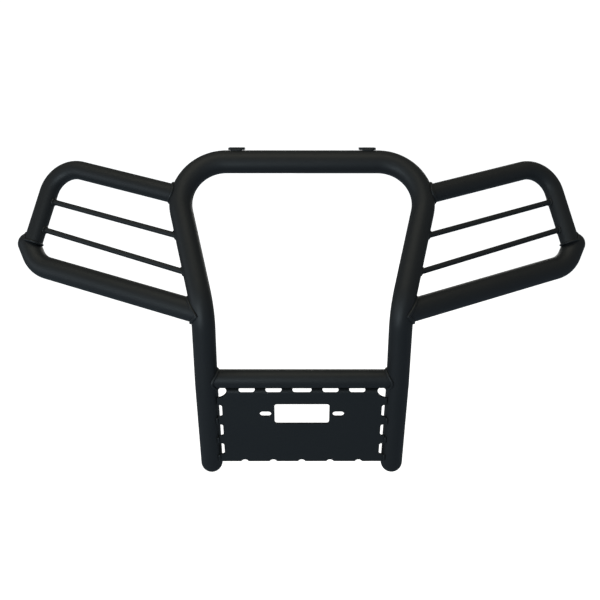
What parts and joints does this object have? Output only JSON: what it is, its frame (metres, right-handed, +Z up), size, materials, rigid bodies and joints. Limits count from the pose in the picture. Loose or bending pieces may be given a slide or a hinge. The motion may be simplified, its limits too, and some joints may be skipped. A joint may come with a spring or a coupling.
{
  "type": "front grille guard",
  "caption": "Welded steel tube front guard for a quad bike: a bent hoop with swept barred side wings, a cross tube and a slotted winch plate below.",
  "frame": {"origin": "middle of the underside of the winch plate's bottom flange, which bolts to the vehicle's frame", "axes": "+X across the guard, to the right as seen from the front; -Y points ahead of the vehicle; +Z up"},
  "size_m": [0.9836, 0.214, 0.566],
  "materials": {
    "tube_coat": "fine-textured satin black powder coat",
    "rod_coat": "fine-textured satin black powder coat",
    "plate_coat": "fine-textured satin black powder coat",
    "weld_coat": "fine-textured satin black powder coat"
  },
  "bodies": {
    "root": {"cross_tube": "tube_coat", "left_hoop_end_cap": "tube_coat", "left_lower_rod": "rod_coat", "left_rack_tab": "plate_coat", "left_upper_rod": "rod_coat", "left_wing_end_cap": "tube_coat", "left_wing_lower_tube": "tube_coat", "left_wing_upper_tube": "tube_coat", "main_hoop": "tube_coat", "right_hoop_end_cap": "tube_coat", "right_lower_rod": "rod_coat", "right_rack_tab": "plate_coat", "right_upper_rod": "rod_coat", "right_wing_end_cap": "tube_coat", "right_wing_lower_tube": "tube_coat", "right_wing_upper_tube": "tube_coat", "weld_cross_tube_left": "weld_coat", "weld_cross_tube_right": "weld_coat", "weld_left_lower_rod_inner": "weld_coat", "weld_left_lower_rod_outer": "weld_coat", "weld_left_upper_rod_inner": "weld_coat", "weld_left_upper_rod_outer": "weld_coat", "weld_plate_left_bottom": "weld_coat", "weld_plate_left_middle": "weld_coat", "weld_plate_left_top": "weld_coat", "weld_plate_right_bottom": "weld_coat", "weld_plate_right_middle": "weld_coat", "weld_plate_right_top": "weld_coat", "weld_rack_tab_left": "weld_coat", "weld_rack_tab_right": "weld_coat", "weld_right_lower_rod_inner": "weld_coat", "weld_right_lower_rod_outer": "weld_coat", "weld_right_upper_rod_inner": "weld_coat", "weld_right_upper_rod_outer": "weld_coat", "weld_wing_lower_left": "weld_coat", "weld_wing_lower_right": "weld_coat", "weld_wing_tip_left": "weld_coat", "weld_wing_tip_right": "weld_coat", "weld_wing_upper_left": "weld_coat", "weld_wing_upper_right": "weld_coat", "winch_plate": "plate_coat"}
  },
  "joints": []
}
